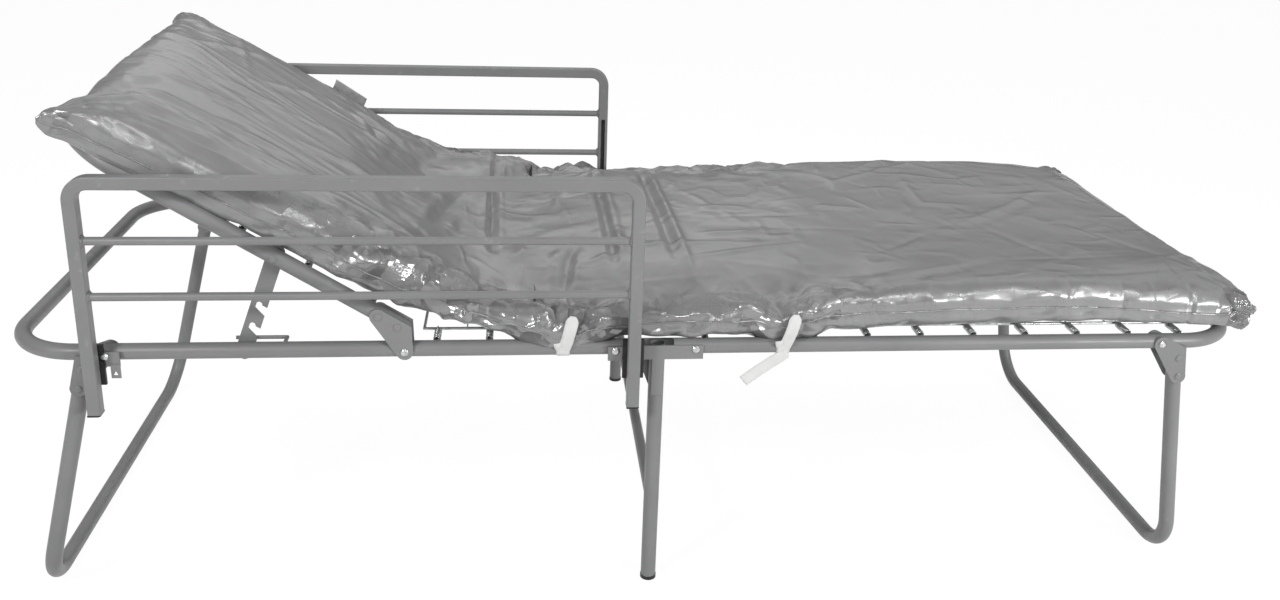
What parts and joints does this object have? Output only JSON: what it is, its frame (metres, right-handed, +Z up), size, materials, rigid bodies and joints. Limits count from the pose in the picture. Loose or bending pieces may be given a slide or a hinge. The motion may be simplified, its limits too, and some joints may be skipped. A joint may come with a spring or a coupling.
{
  "type": "folding cot",
  "caption": "Folding tube-frame emergency cot with ratchet backrest, drop side rails, sprung wire deck and a vinyl-covered mattress.",
  "frame": {"origin": "on the floor, under the middle of the bounding box", "axes": "+X runs along the bed from the head to the foot, +Y to the far side, +Z up"},
  "size_m": [2.0434, 0.848, 0.8348],
  "materials": {
    "grey_paint": "satin powder coat",
    "bright_zinc": "zinc plated",
    "black_plastic": "matte",
    "grey_vinyl": "satin coated cloth",
    "white_webbing": "woven, matte"
  },
  "bodies": {
    "centre": {"hinge_plates_outer": "grey_paint", "hinge_plates_inner": "grey_paint", "hinge_bolts": "bright_zinc", "centre_leg_near": "grey_paint", "centre_leg_far": "grey_paint", "centre_leg_crossbar": "grey_paint", "centre_leg_feet": "black_plastic", "mattress_fold": "grey_vinyl"},
    "head_half": {"head_frame_tube": "grey_paint", "head_leg_bolts": "bright_zinc", "backrest_bolts": "bright_zinc", "prop_pins": "bright_zinc", "prop_guides": "grey_paint", "seat_deck": "bright_zinc", "seat_springs": "bright_zinc", "rail_hangers_head": "grey_paint", "rail_hangers_hinge": "grey_paint", "rail_guides": "black_plastic", "mattress_seat": "grey_vinyl", "strap_loops_head": "white_webbing"},
    "foot_half": {"foot_frame_tube": "grey_paint", "foot_leg_bolts": "bright_zinc", "foot_deck": "bright_zinc", "foot_springs": "bright_zinc", "mattress_foot": "grey_vinyl", "strap_loops_foot": "white_webbing"},
    "head_leg": {"head_leg_tube": "grey_paint", "head_leg_gussets": "grey_paint", "head_leg_rivets": "grey_paint"},
    "foot_leg": {"foot_leg_tube": "grey_paint", "foot_leg_gussets": "grey_paint", "foot_leg_rivets": "grey_paint"},
    "backrest": {"backrest_tube": "grey_paint", "backrest_gussets": "grey_paint", "backrest_rivets": "grey_paint", "backrest_deck": "bright_zinc", "backrest_springs": "bright_zinc", "prop_rivets": "grey_paint", "mattress_back": "grey_vinyl", "mattress_hip": "grey_vinyl", "mattress_tab": "white_webbing"},
    "props": {"prop_struts": "grey_paint"},
    "near_rail": {"side_rail_near": "grey_paint", "rail_bars_near": "grey_paint", "post_caps_near": "black_plastic"},
    "far_rail": {"side_rail_far": "grey_paint", "rail_bars_far": "grey_paint", "post_caps_far": "black_plastic"}
  },
  "joints": [
    {"name": "head_fold", "type": "hinge", "parent": "centre", "child": "head_half", "pos_m": [-0.071, 0, 0.435], "axis": [0, 1, 0], "range_deg": [0, 78], "deforming": ["mattress_fold"]},
    {"name": "foot_fold", "type": "hinge", "parent": "centre", "child": "foot_half", "pos_m": [0.059, 0, 0.435], "axis": [0, -1, 0], "range_deg": [0, 78], "deforming": ["mattress_fold"]},
    {"name": "head_leg_fold", "type": "hinge", "parent": "head_half", "child": "head_leg", "pos_m": [-0.851, 0, 0.435], "axis": [0, -1, 0], "range_deg": [0, 104]},
    {"name": "foot_leg_fold", "type": "hinge", "parent": "foot_half", "child": "foot_leg", "pos_m": [0.852, 0, 0.435], "axis": [0, 1, 0], "range_deg": [0, 98]},
    {"name": "backrest_lower", "type": "hinge", "parent": "head_half", "child": "backrest", "pos_m": [-0.402, 0, 0.435], "axis": [0, -1, 0], "range_deg": [0, 32], "deforming": ["mattress_hip"]},
    {"name": "prop_swing", "type": "hinge", "parent": "backrest", "child": "props", "pos_m": [-0.59388, 0, 0.59027], "axis": [0, 1, 0], "range_deg": [0, 89.6]},
    {"name": "near_rail_drop", "type": "slide", "parent": "head_half", "child": "near_rail", "axis": [0, 0, -1], "range_m": [0, 0.16]},
    {"name": "far_rail_drop", "type": "slide", "parent": "head_half", "child": "far_rail", "axis": [0, 0, -1], "range_m": [0, 0.16]}
  ],
  "couplings": [
    {"joint": "prop_swing", "follows": "backrest_lower", "ratio": 2.8}
  ]
}
